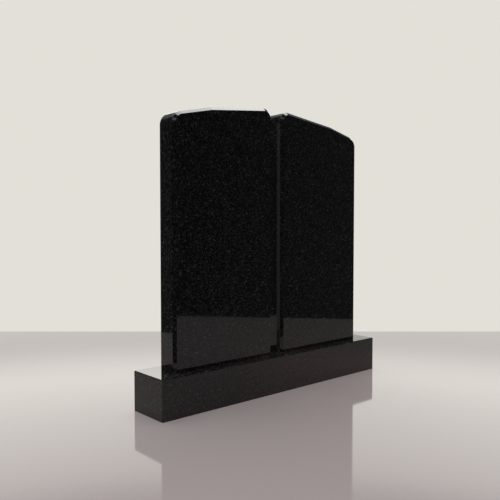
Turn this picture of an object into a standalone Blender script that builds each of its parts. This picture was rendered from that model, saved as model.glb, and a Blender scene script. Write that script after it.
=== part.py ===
"""Companion headstone in polished black granite.

Two upright tablets stand side by side on one long base, with an open slot between them.
Seen together, their tops make one shallow gable: each tablet falls away from the slot in
two straight pitches, the outer one steeper, and its top corners are turned in arcs.
The right tablet is the mirror image of the left one.

Metres, +Z up. The origin is the middle of the base's underside. +X runs along the base,
and -Y is the front.
"""
import math

import bmesh
import bpy
from mathutils import Matrix, Vector

# Tablets: sizes seen from the front
TABLET_WIDTH = 0.490
TABLET_GAP = 0.055
PEAK_HEIGHT = 1.019
INNER_PITCH = math.radians(6.5)
OUTER_PITCH = math.radians(12.7)
PITCH_BREAK = 0.315
INNER_CORNER_RADIUS = 0.038
OUTER_CORNER_RADIUS = 0.048

# Tablets: thickness, and the flat chamfer around the front and back faces
TABLET_THICKNESS = 0.098
EDGE_CHAMFER = 0.011

# Base: height, what shows of its top beyond the tablets, and its small chamfered arrises
BASE_HEIGHT = 0.150
END_MARGIN = 0.0825
LEDGE_DEPTH = 0.046
BASE_ARRIS = 0.003

# Clearance between each tablet's foot and the base
SEAT_CLEARANCE = 0.0003

# Fineness of the round stretches
CORNER_STEPS = 16
WELD_DISTANCE = 0.00001
FLAT_ANGLE = math.radians(0.1)
SMOOTH_ANGLE = math.radians(30)

# Sizes that follow from those above
BASE_LENGTH = 2 * (TABLET_WIDTH + END_MARGIN) + TABLET_GAP
BASE_DEPTH = TABLET_THICKNESS + 2 * LEDGE_DEPTH
SEAT_HEIGHT = BASE_HEIGHT + SEAT_CLEARANCE
TABLET_OFFSET = (TABLET_GAP + TABLET_WIDTH) / 2

# Looks of the stone
TABLET_COLOUR = (0.0045, 0.0045, 0.0047, 1.0)
BASE_COLOUR = (0.0050, 0.0049, 0.0050, 1.0)
POLISHED_ROUGHNESS = 0.04
STONE_IOR = 1.54


def clear_scene():
    for old in list(bpy.data.objects):
        bpy.data.objects.remove(old, do_unlink=True)


def new_collection(name):
    collection = bpy.data.collections.new(name)
    bpy.context.scene.collection.children.link(collection)
    return collection


def polished_granite(name, colour):
    material = bpy.data.materials.new(name)
    material.use_nodes = True
    shader = material.node_tree.nodes["Principled BSDF"]
    shader.inputs["Base Color"].default_value = colour
    shader.inputs["Roughness"].default_value = POLISHED_ROUGHNESS
    shader.inputs["Metallic"].default_value = 0.0
    shader.inputs["IOR"].default_value = STONE_IOR
    material.diffuse_color = colour
    return material


def rounded_corner(before, corner, after, radius):
    """Points of the arc that turns a corner, tangent to both of its sides."""
    to_before = (before - corner).normalized()
    to_after = (after - corner).normalized()
    half_angle = to_before.angle(to_after) / 2
    centre = corner + (to_before + to_after).normalized() * radius / math.sin(half_angle)
    start = corner + to_before * radius / math.tan(half_angle) - centre
    turn = start.angle_signed(corner + to_after * radius / math.tan(half_angle) - centre)
    points = []
    for step in range(CORNER_STEPS + 1):
        angle = -turn * step / CORNER_STEPS
        points.append(centre + Matrix.Rotation(angle, 2) @ start)
    return points


def tablet_outline(side):
    """Front outline, from the middle of the tablet's foot. side is -1 for left, 1 for right.

    It is drawn with the slot at its left, as on the right tablet, and mirrored for the left.
    """
    inner = -TABLET_WIDTH / 2
    outer = TABLET_WIDTH / 2
    break_height = PEAK_HEIGHT - PITCH_BREAK * math.tan(INNER_PITCH)
    shoulder_height = break_height - (TABLET_WIDTH - PITCH_BREAK) * math.tan(OUTER_PITCH)
    inner_foot = Vector((inner, 0.0))
    outer_foot = Vector((outer, 0.0))
    peak = Vector((inner, PEAK_HEIGHT))
    pitch_break = Vector((inner + PITCH_BREAK, break_height))
    shoulder = Vector((outer, shoulder_height))
    points = [inner_foot]
    points += rounded_corner(inner_foot, peak, pitch_break, INNER_CORNER_RADIUS)
    points += [pitch_break]
    points += rounded_corner(pitch_break, shoulder, outer_foot, OUTER_CORNER_RADIUS)
    points += [outer_foot]
    return [(side * point.x, point.y) for point in points]


def slab_from_outline(name, points, thickness, collection):
    """A flat slab whose outline stands in the XZ plane, as a closed mesh object."""
    curve = bpy.data.curves.new(name + "_outline", "CURVE")
    curve.dimensions = "2D"
    curve.fill_mode = "BOTH"
    curve.extrude = thickness / 2
    spline = curve.splines.new("POLY")
    spline.points.add(len(points) - 1)
    for spline_point, (across, up) in zip(spline.points, points):
        spline_point.co = (across, up, 0.0, 1.0)
    spline.use_cyclic_u = True
    drawing = bpy.data.objects.new(name + "_outline", curve)
    drawing.rotation_euler.x = math.pi / 2
    collection.objects.link(drawing)
    bpy.context.view_layer.update()

    evaluated = drawing.evaluated_get(bpy.context.evaluated_depsgraph_get())
    mesh = bpy.data.meshes.new_from_object(evaluated)
    mesh.name = name
    slab = bpy.data.objects.new(name, mesh)
    slab.matrix_world = drawing.matrix_world
    collection.objects.link(slab)
    bpy.data.objects.remove(drawing, do_unlink=True)

    solid = bmesh.new()
    solid.from_mesh(mesh)
    bmesh.ops.remove_doubles(solid, verts=solid.verts, dist=WELD_DISTANCE)
    bmesh.ops.dissolve_limit(
        solid, angle_limit=FLAT_ANGLE, verts=solid.verts, edges=solid.edges
    )
    bmesh.ops.recalc_face_normals(solid, faces=solid.faces)
    solid.to_mesh(mesh)
    solid.free()
    return slab


def chamfer_edges(piece, width, is_chamfered):
    """Flat chamfers on the edges that is_chamfered picks by their ends, in the mesh's own axes."""
    mesh = piece.data
    weights = mesh.attributes.new("bevel_weight_edge", "FLOAT", "EDGE")
    for edge in mesh.edges:
        first, second = (mesh.vertices[index].co for index in edge.vertices)
        weights.data[edge.index].value = 1.0 if is_chamfered(first, second) else 0.0
    bevel = piece.modifiers.new("Chamfered edges", "BEVEL")
    bevel.limit_method = "WEIGHT"
    bevel.offset_type = "OFFSET"
    bevel.width = width
    bevel.segments = 1
    bevel.mark_sharp = True
    mesh.shade_smooth()
    mesh.set_sharp_from_angle(angle=SMOOTH_ANGLE)


def make_tablet(name, side, collection, parent):
    tablet = slab_from_outline(name, tablet_outline(side), TABLET_THICKNESS, collection)

    def borders_a_face(first, second):
        lies_in_face = first.z * second.z > 0
        is_foot = max(first.y, second.y) < WELD_DISTANCE
        return lies_in_face and not is_foot

    chamfer_edges(tablet, EDGE_CHAMFER, borders_a_face)
    tablet.data.materials.append(polished_granite(name + "_granite", TABLET_COLOUR))
    tablet.parent = parent
    tablet.location = (side * TABLET_OFFSET, 0.0, SEAT_HEIGHT)
    return tablet


def make_base(name, collection, parent):
    bpy.ops.mesh.primitive_cube_add(size=1.0, location=(0.0, 0.0, 0.0))
    base = bpy.context.active_object
    base.name = name
    base.data.name = name
    to_size = Matrix.Diagonal((BASE_LENGTH, BASE_DEPTH, BASE_HEIGHT, 1.0))
    base.data.transform(Matrix.Translation((0.0, 0.0, BASE_HEIGHT / 2)) @ to_size)
    for holder in list(base.users_collection):
        holder.objects.unlink(base)
    collection.objects.link(base)

    def is_above_the_underside(first, second):
        return max(first.z, second.z) > WELD_DISTANCE

    chamfer_edges(base, BASE_ARRIS, is_above_the_underside)
    base.data.materials.append(polished_granite(name + "_granite", BASE_COLOUR))
    base.parent = parent
    return base


def main():
    clear_scene()
    collection = new_collection("companion_headstone")
    headstone = bpy.data.objects.new("companion_headstone", None)
    collection.objects.link(headstone)
    make_base("base", collection, headstone)
    make_tablet("tablet_left", -1, collection, headstone)
    make_tablet("tablet_right", 1, collection, headstone)


main()
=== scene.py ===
"""Companion headstone in polished black granite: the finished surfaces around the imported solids.

Each solid is replaced by a finer piece of the same size: the tablets with smoother arcs and
slightly blunt chamfers, the base with its small flat chamfers, all in a polished flecked stone
with sawn faces where it stands.

Metres, +Z up. The origin is the middle of the base's underside. +X runs along the base,
and -Y is the front.
"""
import math

import bmesh
import bpy
from mathutils import Matrix, Vector


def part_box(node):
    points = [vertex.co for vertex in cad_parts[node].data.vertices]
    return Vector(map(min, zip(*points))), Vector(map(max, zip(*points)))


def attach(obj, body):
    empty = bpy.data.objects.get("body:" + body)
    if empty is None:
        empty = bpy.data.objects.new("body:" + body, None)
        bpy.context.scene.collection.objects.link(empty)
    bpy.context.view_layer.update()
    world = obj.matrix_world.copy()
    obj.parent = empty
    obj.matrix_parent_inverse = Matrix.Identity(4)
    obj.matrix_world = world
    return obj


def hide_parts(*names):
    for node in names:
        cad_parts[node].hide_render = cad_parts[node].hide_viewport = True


# Tablets: what the boxes of the solids don't say
INNER_PITCH = math.radians(6.5)
OUTER_PITCH = math.radians(12.7)
PITCH_BREAK = 0.315
INNER_CORNER_RADIUS = 0.038
OUTER_CORNER_RADIUS = 0.048

# Chamfers, and how blunt the polisher leaves the tablets' edges
EDGE_CHAMFER = 0.011
BASE_CHAMFER = 0.003
CHAMFER_ARRIS = 0.0008
PITCH_EASING = 0.012

# Fineness of the round stretches
CORNER_STEPS = 36
PITCH_STEPS = 6
CHAMFER_ARRIS_STEPS = 3
SMOOTH_ANGLE = math.radians(30)

# Heights closer than this count as the same
FLUSH = 0.00001

# Material slots of every stone piece
POLISHED = 0
SAWN = 1

# Polished stone: its black grains, and how smooth and how reflective the polish is
GRAIN_SIZE = 0.0022
GRAIN_DARKEST = (0.0004, 0.0004, 0.0004, 1.0)
GRAIN_PALEST = (0.0060, 0.0062, 0.0062, 1.0)
POLISH_SMOOTHEST = 0.030
POLISH_ROUGHEST = 0.055
POLISH_IOR = 1.57

# Grey flecks among them: size, the share of grains that stay black, and the palest grey
FLECKS = (
    (0.0034, 0.64, 0.037),
    (0.0060, 0.93, 0.054),
)
FLECK_DARKEST = 0.010
FLECK_RED = 0.96  # of its green and blue, in the palest grey
FLECK_STEP = 0.01  # share of grains between the black ones and the full flecks

# How pale the flecks are on each stone
TABLET_FLECKS = 1.0
BASE_FLECKS = 0.85

# Sawn stone
SAWN_GRAIN_SIZE = 0.0017
SAWN_DARKEST = (0.050, 0.050, 0.052, 1.0)
SAWN_PALEST = (0.110, 0.108, 0.106, 1.0)
SAWN_ROUGHNESS = 0.75
SAWN_IOR = 1.54

# Camera: where it stands and how it looks, fitted to the edges of the base and the tablets
CAMERA_PLACE = (-1.7220, -1.8201, 0.6837)
CAMERA_YAW = math.radians(41.566)
CAMERA_DIP = math.radians(2.255)
CAMERA_LENS = 42.595
SENSOR_WIDTH = 36.0

# Floor: a pale glossy sheet with a soft painted glow that lightens the stone's shadow on it, with its
# edges' distances from the origin
FLOOR_BEHIND = 1.335
FLOOR_BEFORE = 1.16
FLOOR_LEFT = 1.98
FLOOR_RIGHT = 1.98
FLOOR_COLOUR = (0.112, 0.098, 0.100, 1.0)
FLOOR_GLOW = (0.130, 0.115, 0.112, 1.0)
FLOOR_ROUGHNESS = 0.06
FLOOR_IOR = 1.25

# Studio: the plain pale backdrop that the camera sees, and the dim room that the stone mirrors
BACKDROP_COLOUR = (0.77, 0.745, 0.69, 1.0)
ROOM_COLOUR = (0.0225, 0.0238, 0.0238)

# Studio panels, with their angles in degrees
# Each gives the bearing of its middle from +Y towards +X, half of its width, the softness of its
# sides, its lowest and highest edge above the horizon, their softness, and its light's colour
STUDIO_PANELS = (
    (41.6, 48.0, 5.0, -60.0, 24.0, 5.0, (0.85, 0.85, 0.78)),  # wide, behind the stone
    (41.6, 48.0, 2.0, 12.5, 24.0, 2.0, (1.25, 1.25, 1.13)),  # more light on its upper part
    (44.0, 5.0, 1.5, -60.0, 12.0, 1.5, (1.60, 1.60, 1.50)),  # narrow, behind the slot
    (30.0, 43.0, 2.0, 29.0, 50.0, 2.0, (0.20, 0.23, 0.29)),  # bluish, high behind
    (40.0, 38.0, 6.0, 40.0, 54.0, 6.0, (0.33, 0.34, 0.37)),  # soft-edged, higher behind
    (190.0, 65.0, 4.0, 28.0, 46.0, 4.0, (0.80, 0.80, 0.80)),  # wide, high in front
    (112.0, 25.0, 4.0, 12.1, 20.0, 0.8, (0.50, 0.24, 0.20)),  # reddish, low at the right
    (100.0, 35.0, 12.0, -60.0, 60.0, 12.0, (0.017, 0.017, 0.016)),  # faint, tall at the right
)

# Overhead softbox: its edges to the left, right, front and back, for each metre of its height
SOFTBOX_LEFT = -0.75
SOFTBOX_RIGHT = 0.80
SOFTBOX_FRONT = -0.27
SOFTBOX_BACK = 0.95
SOFTBOX_SOFTNESS = 0.025
SOFTBOX_COLOUR = (5.6, 5.6, 5.5)
LEAST_RISE = 0.00001  # stands in for the rise of directions at or below the horizon


def feed(tree, socket, value):
    """Links another node's output to an input, or sets a plain value on it."""
    if isinstance(value, bpy.types.NodeSocket):
        tree.links.new(value, socket)
    else:
        socket.default_value = value


def maths(tree, operation, *values):
    node = tree.nodes.new("ShaderNodeMath")
    node.operation = operation
    for socket, value in zip(node.inputs, values):
        feed(tree, socket, value)
    return node.outputs["Value"]


def vector_maths(tree, operation, *values, result="Vector"):
    node = tree.nodes.new("ShaderNodeVectorMath")
    node.operation = operation
    for socket, value in zip(node.inputs, values):
        feed(tree, socket, value)
    return node.outputs[result]


def fade(tree, value, start, end, low=0.0, high=1.0):
    """Runs smoothly from low to high while the value goes from start to end."""
    node = tree.nodes.new("ShaderNodeMapRange")
    node.interpolation_type = "SMOOTHSTEP"
    for name, setting in (
        ("Value", value),
        ("From Min", start),
        ("From Max", end),
        ("To Min", low),
        ("To Max", high),
    ):
        feed(tree, node.inputs[name], setting)
    return node.outputs["Result"]


def mixed_colour(tree, share, first, second):
    """The first colour where the share is 0, and the second where it is 1."""
    node = tree.nodes.new("ShaderNodeMix")
    node.data_type = "RGBA"
    colours = [socket for socket in node.inputs if socket.type == "RGBA"]
    feed(tree, node.inputs["Factor"], share)
    feed(tree, colours[0], first)
    feed(tree, colours[1], second)
    return [socket for socket in node.outputs if socket.type == "RGBA"][0]


def crystals(tree, place, size):
    """Stone grains: random numbers from 0 to 1, as Red, Green and Blue, the same all over a grain."""
    grains = tree.nodes.new("ShaderNodeTexVoronoi")
    grains.feature = "F1"
    feed(tree, grains.inputs["Vector"], place)
    feed(tree, grains.inputs["Scale"], 1.0 / size)
    parts = tree.nodes.new("ShaderNodeSeparateColor")
    tree.links.new(grains.outputs["Color"], parts.inputs["Color"])
    return parts.outputs


def new_material(name):
    material = bpy.data.materials.new(name)
    material.use_nodes = True
    return material, material.node_tree.nodes["Principled BSDF"]


def polished_granite(name, paleness):
    """Black granite, mirror polished, with scattered grey flecks as pale as paleness makes them."""
    material, shader = new_material(name)
    tree = material.node_tree
    place = tree.nodes.new("ShaderNodeTexCoord").outputs["Object"]

    grains = crystals(tree, place, GRAIN_SIZE)
    stone = mixed_colour(tree, grains["Red"], GRAIN_DARKEST, GRAIN_PALEST)
    darkest = FLECK_DARKEST * paleness
    for size, black_share, palest_grey in FLECKS:
        palest = palest_grey * paleness
        flecks = crystals(tree, place, size)
        fleck = mixed_colour(
            tree,
            flecks["Green"],
            (darkest, darkest, darkest, 1.0),
            (FLECK_RED * palest, palest, palest, 1.0),
        )
        is_fleck = fade(tree, flecks["Red"], black_share, black_share + FLECK_STEP)
        stone = mixed_colour(tree, is_fleck, stone, fleck)
    tree.links.new(stone, shader.inputs["Base Color"])

    roughness = fade(tree, grains["Blue"], 0.0, 1.0, POLISH_SMOOTHEST, POLISH_ROUGHEST)
    tree.links.new(roughness, shader.inputs["Roughness"])
    shader.inputs["Metallic"].default_value = 0.0
    shader.inputs["IOR"].default_value = POLISH_IOR
    return material


def sawn_granite(name):
    """The same stone as the saw leaves it, grey and rough, where a piece stands."""
    material, shader = new_material(name)
    tree = material.node_tree
    place = tree.nodes.new("ShaderNodeTexCoord").outputs["Object"]
    grains = crystals(tree, place, SAWN_GRAIN_SIZE)
    stone = mixed_colour(tree, grains["Red"], SAWN_DARKEST, SAWN_PALEST)
    tree.links.new(stone, shader.inputs["Base Color"])
    shader.inputs["Roughness"].default_value = SAWN_ROUGHNESS
    shader.inputs["IOR"].default_value = SAWN_IOR
    return material


def floor_material():
    material, shader = new_material("pale_floor")
    shader.inputs["Base Color"].default_value = FLOOR_COLOUR
    # Painted glow: the floor gives off light of its own, which lightens the stone's shadow on it
    shader.inputs["Emission Color"].default_value = FLOOR_GLOW
    shader.inputs["Emission Strength"].default_value = 1.0
    shader.inputs["Roughness"].default_value = FLOOR_ROUGHNESS
    shader.inputs["IOR"].default_value = FLOOR_IOR
    return material


def rounded_corner(before, corner, after, radius, steps):
    """Points of the arc that turns a corner, tangent to both of its sides."""
    to_before = (before - corner).normalized()
    to_after = (after - corner).normalized()
    half_angle = to_before.angle(to_after) / 2
    centre = corner + (to_before + to_after).normalized() * radius / math.sin(half_angle)
    start = corner + to_before * radius / math.tan(half_angle) - centre
    turn = start.angle_signed(corner + to_after * radius / math.tan(half_angle) - centre)
    return [centre + Matrix.Rotation(-turn * step / steps, 2) @ start for step in range(steps + 1)]


def tablet_outline(width, height, inset):
    """Front outline of the right tablet, moved in by the inset, from the slot's side of its foot.

    The height is measured to the top of the arc beside the slot, which lies below the point
    where the tablet's side and its inner pitch would meet.
    """
    lift = 1.0 / math.cos(INNER_PITCH) + math.tan(INNER_PITCH) - 1.0
    peak_height = height + INNER_CORNER_RADIUS * lift
    break_height = peak_height - PITCH_BREAK * math.tan(INNER_PITCH)
    inner_line = peak_height - inset / math.cos(INNER_PITCH)
    outer_line = (
        break_height + PITCH_BREAK * math.tan(OUTER_PITCH) - inset / math.cos(OUTER_PITCH)
    )
    break_across = (outer_line - inner_line) / (math.tan(OUTER_PITCH) - math.tan(INNER_PITCH))
    inner_foot = Vector((inset, 0.0))
    outer_foot = Vector((width - inset, 0.0))
    peak = Vector((inner_foot.x, inner_line - inner_foot.x * math.tan(INNER_PITCH)))
    pitch_break = Vector((break_across, inner_line - break_across * math.tan(INNER_PITCH)))
    shoulder = Vector((outer_foot.x, outer_line - outer_foot.x * math.tan(OUTER_PITCH)))
    points = [inner_foot]
    points += rounded_corner(
        inner_foot, peak, pitch_break, INNER_CORNER_RADIUS - inset, CORNER_STEPS
    )
    points += rounded_corner(peak, pitch_break, shoulder, PITCH_EASING, PITCH_STEPS)
    points += rounded_corner(
        pitch_break, shoulder, outer_foot, OUTER_CORNER_RADIUS - inset, CORNER_STEPS
    )
    points += [outer_foot]
    return points


def rim_profile(thickness):
    """The tablet's edge seen end on, front to back, as points (inset, depth).

    The first and the last corner only aim the arcs between a face and its chamfer.
    """
    half = thickness / 2
    corners = [
        Vector((2 * EDGE_CHAMFER, -half)),
        Vector((EDGE_CHAMFER, -half)),
        Vector((0.0, EDGE_CHAMFER - half)),
        Vector((0.0, half - EDGE_CHAMFER)),
        Vector((EDGE_CHAMFER, half)),
        Vector((2 * EDGE_CHAMFER, half)),
    ]
    points = []
    for before, corner, after in zip(corners, corners[1:], corners[2:]):
        points += rounded_corner(before, corner, after, CHAMFER_ARRIS, CHAMFER_ARRIS_STEPS)
    return points


def new_piece(name, mesh):
    piece = bpy.data.objects.new(name, mesh)
    bpy.context.scene.collection.objects.link(piece)
    return piece


def stone_piece(name, solid, polished, sawn):
    """The finished solid as an object: smooth along its arcs, flat and sharp everywhere else."""
    mesh = bpy.data.meshes.new(name)
    solid.to_mesh(mesh)
    solid.free()
    mesh.materials.append(polished)
    mesh.materials.append(sawn)
    piece = new_piece(name, mesh)
    mesh.shade_smooth()
    mesh.set_sharp_from_angle(angle=SMOOTH_ANGLE)
    normals = piece.modifiers.new("Flat faces stay flat", "WEIGHTED_NORMAL")
    normals.keep_sharp = True
    return piece


def make_tablet(name, node, side, polished, sawn):
    """side is -1 for the left tablet and 1 for the right one."""
    low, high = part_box(node)
    size = high - low
    slot_side = low.x if side > 0 else high.x
    middle = (low.y + high.y) / 2
    solid = bmesh.new()
    rings = []
    for inset, depth in rim_profile(size.y):
        ring = []
        for across, up in tablet_outline(size.x, size.z, inset):
            place = (slot_side + side * across, middle + depth, low.z + up)
            ring.append(solid.verts.new(place))
        rings.append(ring)
    for ring, following in zip(rings, rings[1:]):
        for index in range(len(ring) - 1):
            solid.faces.new((ring[index], ring[index + 1], following[index + 1], following[index]))
    solid.faces.new(rings[0])
    solid.faces.new(rings[-1])
    foot = [ring[0] for ring in rings] + [ring[-1] for ring in reversed(rings)]
    solid.faces.new(foot).material_index = SAWN
    bmesh.ops.recalc_face_normals(solid, faces=solid.faces)
    tablet = stone_piece(name, solid, polished, sawn)
    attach(tablet, "root")
    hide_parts(node)


def lies_underneath(part, foot):
    """Whether all of an edge or a face lies in the underside, at the foot's height."""
    return max(corner.co.z for corner in part.verts) < foot + FLUSH


def make_base(name, node, polished, sawn):
    low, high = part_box(node)
    to_size = Matrix.Diagonal((*(high - low), 1.0))
    solid = bmesh.new()
    bmesh.ops.create_cube(solid, size=1.0, matrix=Matrix.Translation((low + high) / 2) @ to_size)
    bmesh.ops.bevel(
        solid,
        geom=[edge for edge in solid.edges if not lies_underneath(edge, low.z)],
        offset=BASE_CHAMFER,
        offset_type="OFFSET",
        segments=1,
        profile=0.5,
        affect="EDGES",
    )
    for face in solid.faces:
        face.material_index = SAWN if lies_underneath(face, low.z) else POLISHED
    base = stone_piece(name, solid, polished, sawn)
    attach(base, "root")
    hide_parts(node)


def make_floor():
    """A rectangle turned with the camera, so that its far edge runs level across the picture."""
    turn = Matrix.Rotation(-CAMERA_YAW, 3, "Z")
    sheet = bmesh.new()
    corners = []
    for across, ahead in (
        (-FLOOR_LEFT, -FLOOR_BEFORE),
        (FLOOR_RIGHT, -FLOOR_BEFORE),
        (FLOOR_RIGHT, FLOOR_BEHIND),
        (-FLOOR_LEFT, FLOOR_BEHIND),
    ):
        corners.append(sheet.verts.new(turn @ Vector((across, ahead, 0.0))))
    sheet.faces.new(corners)
    mesh = bpy.data.meshes.new("floor")
    sheet.to_mesh(mesh)
    sheet.free()
    mesh.materials.append(floor_material())
    floor = new_piece("floor", mesh)


def add_camera():
    data = bpy.data.cameras.new("camera")
    data.sensor_fit = "HORIZONTAL"
    data.sensor_width = SENSOR_WIDTH
    data.lens = CAMERA_LENS
    camera = bpy.data.objects.new("camera", data)
    camera.location = CAMERA_PLACE
    camera.rotation_euler = (math.pi / 2 - CAMERA_DIP, 0.0, -CAMERA_YAW)
    bpy.context.scene.collection.objects.link(camera)
    bpy.context.scene.camera = camera


def panel_light(tree, direction, rise, panel):
    """One soft-edged panel of the studio: its colour inside, and nothing outside."""
    bearing, half_width, side_softness, lowest, highest, softness, colour = panel
    elevation = maths(tree, "ARCSINE", rise)
    above = fade(
        tree, elevation, math.radians(lowest - softness), math.radians(lowest + softness)
    )
    below = fade(
        tree, elevation, math.radians(highest + softness), math.radians(highest - softness)
    )
    flat = vector_maths(tree, "MULTIPLY", direction, (1.0, 1.0, 0.0))
    level = vector_maths(tree, "NORMALIZE", flat)
    angle = math.radians(bearing)
    middle = (math.sin(angle), math.cos(angle), 0.0)
    within = fade(
        tree,
        vector_maths(tree, "DOT_PRODUCT", level, middle, result="Value"),
        math.cos(math.radians(half_width + side_softness)),
        math.cos(math.radians(half_width - side_softness)),
    )
    share = maths(tree, "MULTIPLY", maths(tree, "MULTIPLY", above, below), within)
    return vector_maths(tree, "MULTIPLY", colour, share)


def softbox_light(tree, parts):
    """The overhead softbox, a soft-edged rectangle in a level plane above the stone."""
    rise = maths(tree, "MAXIMUM", parts["Z"], LEAST_RISE)
    across = maths(tree, "DIVIDE", parts["X"], rise)
    ahead = maths(tree, "DIVIDE", parts["Y"], rise)
    share = 1.0
    for reach, edge, inward in (
        (across, SOFTBOX_LEFT, 1),
        (across, SOFTBOX_RIGHT, -1),
        (ahead, SOFTBOX_FRONT, 1),
        (ahead, SOFTBOX_BACK, -1),
    ):
        blur = inward * SOFTBOX_SOFTNESS
        share = maths(tree, "MULTIPLY", share, fade(tree, reach, edge - blur, edge + blur))
    return vector_maths(tree, "MULTIPLY", SOFTBOX_COLOUR, share)


def light_studio():
    """A dim room with soft panels, as the stone mirrors it. The camera sees a plain backdrop."""
    world = bpy.data.worlds.new("studio")
    world.use_nodes = True
    tree = world.node_tree
    direction = tree.nodes.new("ShaderNodeTexCoord").outputs["Generated"]
    splitter = tree.nodes.new("ShaderNodeSeparateXYZ")
    tree.links.new(direction, splitter.inputs["Vector"])
    parts = splitter.outputs
    light = ROOM_COLOUR
    for panel in STUDIO_PANELS:
        light = vector_maths(tree, "ADD", light, panel_light(tree, direction, parts["Z"], panel))
    light = vector_maths(tree, "ADD", light, softbox_light(tree, parts))
    is_seen = tree.nodes.new("ShaderNodeLightPath").outputs["Is Camera Ray"]
    shown = mixed_colour(tree, is_seen, light, BACKDROP_COLOUR)
    tree.links.new(shown, tree.nodes["Background"].inputs["Color"])
    bpy.context.scene.world = world
    bpy.context.scene.view_settings.view_transform = "Standard"


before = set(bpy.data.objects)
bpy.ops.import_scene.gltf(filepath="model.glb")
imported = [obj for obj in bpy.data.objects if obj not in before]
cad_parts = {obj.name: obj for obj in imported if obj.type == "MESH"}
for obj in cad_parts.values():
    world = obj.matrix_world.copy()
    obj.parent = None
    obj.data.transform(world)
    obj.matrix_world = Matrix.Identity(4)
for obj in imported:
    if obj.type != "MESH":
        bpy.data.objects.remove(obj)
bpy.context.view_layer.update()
add_camera()
light_studio()
make_floor()
tablet_stone = polished_granite("tablet_granite", TABLET_FLECKS)
base_stone = polished_granite("base_granite", BASE_FLECKS)
sawn_stone = sawn_granite("sawn_granite")
make_base("granite_base", "base", base_stone, sawn_stone)
make_tablet("granite_tablet_left", "tablet_left", -1, tablet_stone, sawn_stone)
make_tablet("granite_tablet_right", "tablet_right", 1, tablet_stone, sawn_stone)
